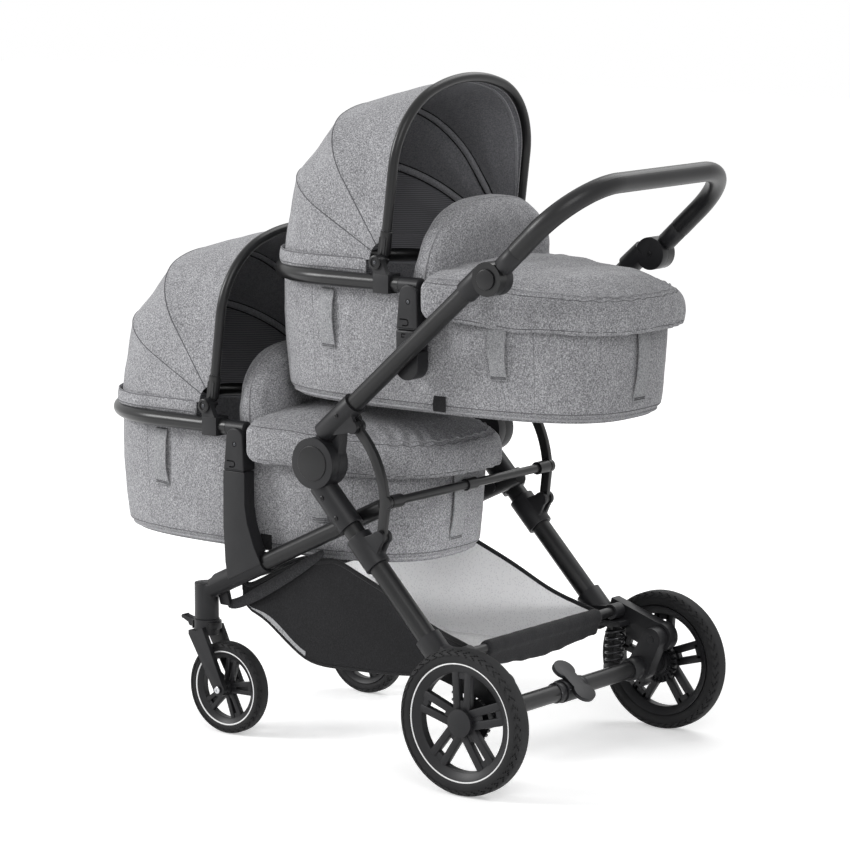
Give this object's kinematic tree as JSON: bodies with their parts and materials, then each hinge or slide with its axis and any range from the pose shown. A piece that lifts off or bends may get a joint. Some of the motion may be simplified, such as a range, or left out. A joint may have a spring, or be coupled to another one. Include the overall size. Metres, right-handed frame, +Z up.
{
  "type": "twin pram",
  "caption": "Tandem pram with one carry cot above and behind the other on a folding tube frame, with hooded cots, swivelling front wheels and a tipping handle.",
  "frame": {"origin": "on the floor, under the middle of the bounding box", "axes": "-X is forward, the way the pram travels; +Z is up; the left side is -Y"},
  "size_m": [1.2162, 0.664, 1.2281],
  "materials": {
    "frame_tube": "satin black coat",
    "moulding": "matte black",
    "steel": "plain",
    "tyre": "matte black",
    "grip": "soft matte",
    "basket_cloth": "woven",
    "mattress_cloth": "woven",
    "cot_cloth": "grey melange weave"
  },
  "bodies": {
    "chassis": {"rear_legs": "frame_tube", "hinge_housings": "moulding", "hinge_caps": "moulding", "rear_casings": "moulding", "basket_bar": "frame_tube", "basket": "basket_cloth", "suspension_springs": "steel"},
    "rear_axle": {"swing_arms": "moulding", "axle_tube": "frame_tube"},
    "pedal": {"brake_pedal": "moulding"},
    "left_brake_pin": {"brake_pin_left": "steel"},
    "right_brake_pin": {"brake_pin_right": "steel"},
    "left_rear_wheel": {"rear_tyre_left": "tyre", "rear_rim_left": "moulding"},
    "right_rear_wheel": {"rear_tyre_right": "tyre", "rear_rim_right": "moulding"},
    "front_frame": {"front_legs": "frame_tube", "front_housings": "moulding", "front_crossbar": "frame_tube"},
    "left_caster": {"fork_left": "moulding"},
    "right_caster": {"fork_right": "moulding"},
    "left_front_wheel": {"front_tyre_left": "tyre", "front_rim_left": "moulding"},
    "right_front_wheel": {"front_tyre_right": "tyre", "front_rim_right": "moulding"},
    "left_lock": {"swivel_lock_left": "moulding"},
    "right_lock": {"swivel_lock_right": "moulding"},
    "upper_frame": {"upper_tubes": "frame_tube", "hinge_arms": "moulding", "handle_housings": "moulding", "adapter_sockets": "moulding"},
    "handle": {"handle_tube": "frame_tube", "handle_grip": "grip"},
    "left_button": {"handle_button_left": "moulding"},
    "right_button": {"handle_button_right": "moulding"},
    "links": {"fold_links": "frame_tube", "link_bar": "frame_tube"},
    "sliders": {"link_sliders": "moulding"},
    "upper_posts": {"upper_adapters": "moulding"},
    "lower_posts": {"lower_adapters": "moulding"},
    "upper_cot": {"upper_tub": "cot_cloth", "upper_mattress": "mattress_cloth", "upper_apron": "cot_cloth", "upper_rail": "frame_tube", "upper_hubs": "moulding", "upper_canopy_clamps": "moulding", "upper_canopy_rear": "cot_cloth"},
    "upper_canopy_middle": {"upper_canopy_mid": "cot_cloth"},
    "upper_canopy_end": {"upper_canopy_front": "cot_cloth", "upper_canopy_bow": "frame_tube"},
    "lower_cot": {"lower_tub": "cot_cloth", "lower_mattress": "mattress_cloth", "lower_apron": "cot_cloth", "lower_rail": "frame_tube", "lower_hubs": "moulding", "lower_canopy_clamps": "moulding", "lower_canopy_rear": "cot_cloth"},
    "lower_canopy_middle": {"lower_canopy_mid": "cot_cloth"},
    "lower_canopy_end": {"lower_canopy_front": "cot_cloth", "lower_canopy_bow": "frame_tube"}
  },
  "joints": [
    {"name": "frame_fold", "type": "hinge", "parent": "chassis", "child": "upper_frame", "pos_m": [0.03394, 0, 0.541], "axis": [0, 1, 0], "range_deg": [0, 66]},
    {"name": "front_leg_fold", "type": "hinge", "parent": "chassis", "child": "front_frame", "pos_m": [0.09195, 0, 0.4402], "axis": [0, -1, 0], "range_deg": [0, 70], "deforming": ["basket"]},
    {"name": "link_turn", "type": "hinge", "parent": "upper_frame", "child": "links", "pos_m": [0.11285, 0, 0.61178], "axis": [0, -1, 0], "range_deg": [0, 85.65]},
    {"name": "slider_travel", "type": "slide", "parent": "chassis", "child": "sliders", "axis": [0.6896, 0, -0.7242], "range_m": [0, 0.115]},
    {"name": "upper_post_off", "type": "slide", "parent": "chassis", "child": "upper_posts", "axis": [0, 0, 1], "range_m": [0, 0.9]},
    {"name": "lower_post_off", "type": "slide", "parent": "chassis", "child": "lower_posts", "axis": [0, 0, 1], "range_m": [0, 0.9]},
    {"name": "upper_cot_lift", "type": "slide", "parent": "upper_posts", "child": "upper_cot", "axis": [0, 0, 1], "range_m": [0, 0.14]},
    {"name": "lower_cot_lift", "type": "slide", "parent": "lower_posts", "child": "lower_cot", "axis": [0, 0, 1], "range_m": [0, 0.14]},
    {"name": "upper_canopy_fold", "type": "hinge", "parent": "upper_cot", "child": "upper_canopy_middle", "pos_m": [0.13894, 0, 0.904], "axis": [0, -1, 0], "range_deg": [0, 24]},
    {"name": "upper_canopy_end_fold", "type": "hinge", "parent": "upper_canopy_middle", "child": "upper_canopy_end", "pos_m": [0.13894, 0, 0.904], "axis": [0, -1, 0], "range_deg": [0, 28]},
    {"name": "lower_canopy_fold", "type": "hinge", "parent": "lower_cot", "child": "lower_canopy_middle", "pos_m": [-0.26006, 0, 0.612], "axis": [0, -1, 0], "range_deg": [0, 24]},
    {"name": "lower_canopy_end_fold", "type": "hinge", "parent": "lower_canopy_middle", "child": "lower_canopy_end", "pos_m": [-0.26006, 0, 0.612], "axis": [0, -1, 0], "range_deg": [0, 28]},
    {"name": "rear_suspension", "type": "hinge", "parent": "chassis", "child": "rear_axle", "pos_m": [0.42694, 0, 0.185], "axis": [0, 1, 0], "range_deg": [0, 8], "stiffness_Nm_per_rad": 150, "springref_deg": -5.73, "deforming": ["suspension_springs"]},
    {"name": "brake_pedal_turn", "type": "hinge", "parent": "rear_axle", "child": "pedal", "pos_m": [0.39994, 0, 0.13], "axis": [0, 1, 0], "range_deg": [0, 20]},
    {"name": "left_brake_pin_out", "type": "slide", "parent": "rear_axle", "child": "left_brake_pin", "axis": [0, -1, 0], "range_m": [0, 0.008]},
    {"name": "right_brake_pin_out", "type": "slide", "parent": "rear_axle", "child": "right_brake_pin", "axis": [0, 1, 0], "range_m": [0, 0.008]},
    {"name": "left_rear_wheel_spin", "type": "hinge", "parent": "rear_axle", "child": "left_rear_wheel", "pos_m": [0.39994, -0.312, 0.13], "axis": [0, 1, 0], "continuous": true},
    {"name": "right_rear_wheel_spin", "type": "hinge", "parent": "rear_axle", "child": "right_rear_wheel", "pos_m": [0.39994, 0.312, 0.13], "axis": [0, 1, 0], "continuous": true},
    {"name": "left_caster_swivel", "type": "hinge", "parent": "front_frame", "child": "left_caster", "pos_m": [-0.27306, -0.207, 0.22], "axis": [0, 0, 1], "continuous": true},
    {"name": "left_front_wheel_spin", "type": "hinge", "parent": "left_caster", "child": "left_front_wheel", "pos_m": [-0.22006, -0.207, 0.086], "axis": [0, 1, 0], "continuous": true},
    {"name": "left_swivel_lock_turn", "type": "hinge", "parent": "left_caster", "child": "left_lock", "pos_m": [-0.30106, -0.207, 0.2], "axis": [0, 1, 0], "range_deg": [0, 25]},
    {"name": "right_caster_swivel", "type": "hinge", "parent": "front_frame", "child": "right_caster", "pos_m": [-0.27306, 0.207, 0.22], "axis": [0, 0, 1], "continuous": true},
    {"name": "right_front_wheel_spin", "type": "hinge", "parent": "right_caster", "child": "right_front_wheel", "pos_m": [-0.22006, 0.207, 0.086], "axis": [0, 1, 0], "continuous": true},
    {"name": "right_swivel_lock_turn", "type": "hinge", "parent": "right_caster", "child": "right_lock", "pos_m": [-0.30106, 0.207, 0.2], "axis": [0, 1, 0], "range_deg": [0, 25]},
    {"name": "handle_tip", "type": "hinge", "parent": "upper_frame", "child": "handle", "pos_m": [0.41307, 0, 0.8973], "axis": [0, 1, 0], "range_deg": [-60, 30]},
    {"name": "left_handle_button", "type": "slide", "parent": "handle", "child": "left_button", "axis": [0, 1, 0], "range_m": [0, 0.004], "stiffness_N_per_m": 600},
    {"name": "right_handle_button", "type": "slide", "parent": "handle", "child": "right_button", "axis": [0, -1, 0], "range_m": [0, 0.004], "stiffness_N_per_m": 600}
  ],
  "couplings": [
    {"joint": "front_leg_fold", "follows": "frame_fold", "ratio": 1.0606},
    {"joint": "link_turn", "follows": "frame_fold", "ratio": 1.2977},
    {"joint": "slider_travel", "follows": "frame_fold", "m_per_rad": 0.099834},
    {"joint": "upper_post_off", "follows": "frame_fold", "m_per_rad": 0.78131},
    {"joint": "lower_post_off", "follows": "frame_fold", "m_per_rad": 0.78131},
    {"joint": "lower_cot_lift", "follows": "upper_cot_lift", "ratio": 1},
    {"joint": "upper_canopy_end_fold", "follows": "upper_canopy_fold", "ratio": 1.1667},
    {"joint": "lower_canopy_end_fold", "follows": "lower_canopy_fold", "ratio": 1.1667},
    {"joint": "left_brake_pin_out", "follows": "brake_pedal_turn", "m_per_rad": 0.022918},
    {"joint": "right_brake_pin_out", "follows": "brake_pedal_turn", "m_per_rad": 0.022918},
    {"joint": "right_handle_button", "follows": "left_handle_button", "ratio": 1}
  ]
}
